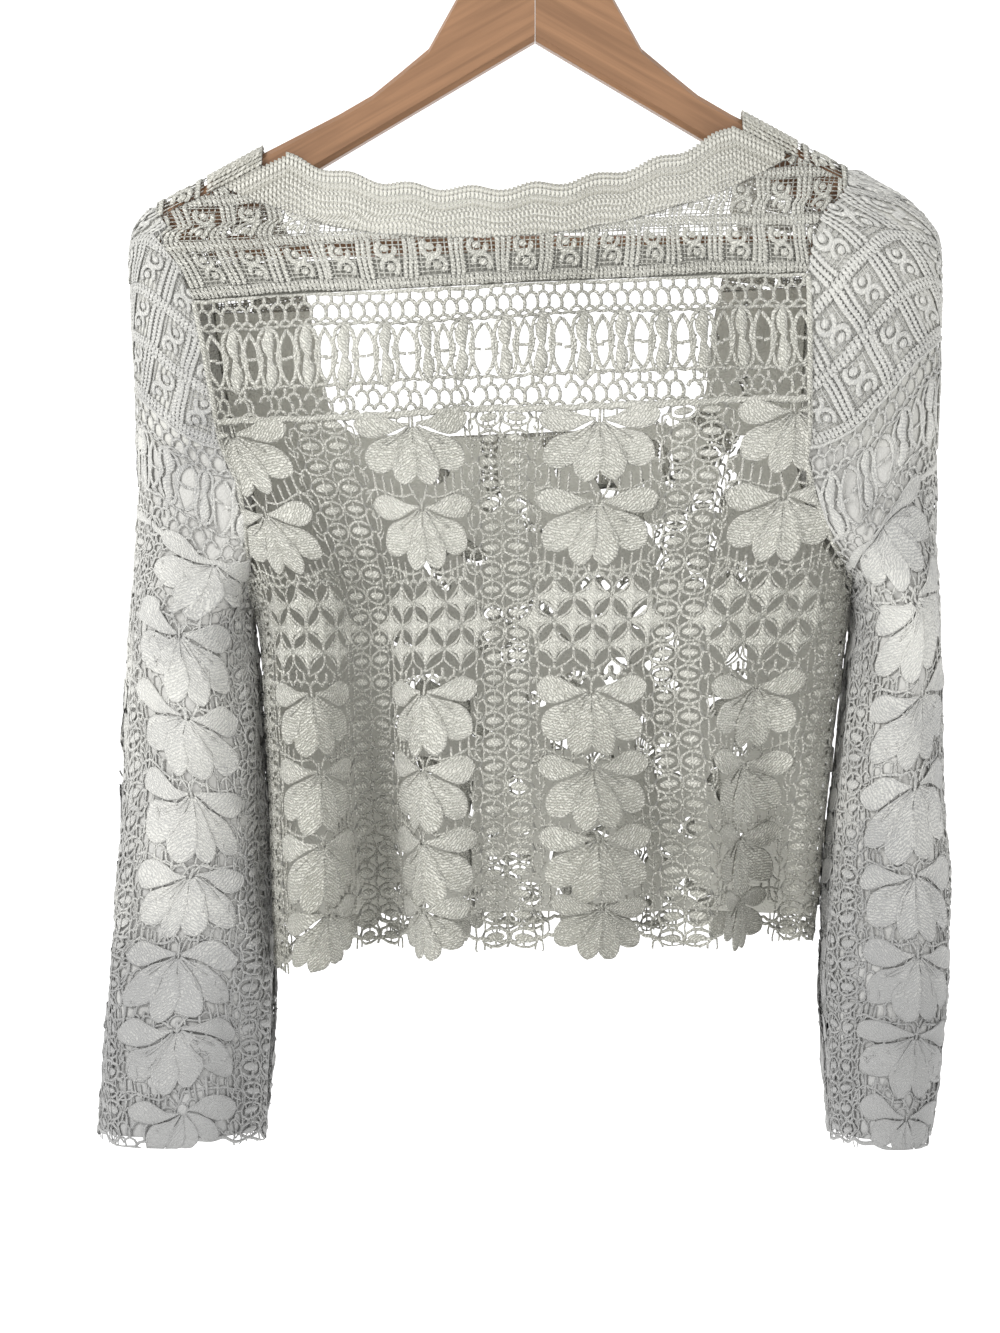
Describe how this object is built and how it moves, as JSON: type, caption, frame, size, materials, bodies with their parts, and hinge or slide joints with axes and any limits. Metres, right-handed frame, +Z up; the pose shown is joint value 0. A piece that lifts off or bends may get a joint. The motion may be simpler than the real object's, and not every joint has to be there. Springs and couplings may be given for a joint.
{
  "type": "crochet lace cardigan on hanger",
  "caption": "Cropped off-white crochet lace cardigan with wide long sleeves and a scooped ribbed neck, hanging on a plain wooden hanger with a steel hook.",
  "frame": {"origin": "inside top of the hanger's hook, where it rests on a rail", "axes": "+Z up, +X to the right of the pictured view, -Y towards the pictured back of the cardigan, so its front faces +Y"},
  "size_m": [0.4656, 0.14, 0.7211],
  "materials": {
    "lace": "matt cotton thread",
    "neck_knit": "matt ribbed cotton",
    "hanger_wood": "satin varnish",
    "hook_steel": "polished"
  },
  "bodies": {
    "root": {"back_panel": "lace", "back_yoke": "lace", "front_panel_left": "lace", "front_panel_right": "lace", "front_yoke_left": "lace", "front_yoke_right": "lace", "sleeve_back_left": "lace", "sleeve_back_right": "lace", "sleeve_front_left": "lace", "sleeve_front_right": "lace", "sleeve_cap_left": "lace", "sleeve_cap_right": "lace", "neck_band_back": "neck_knit", "neck_band_front_left": "neck_knit", "neck_band_front_right": "neck_knit", "hanger_arm_left": "hanger_wood", "hanger_arm_right": "hanger_wood", "hanger_bar": "hanger_wood", "hanger_hook": "hook_steel"}
  },
  "joints": []
}
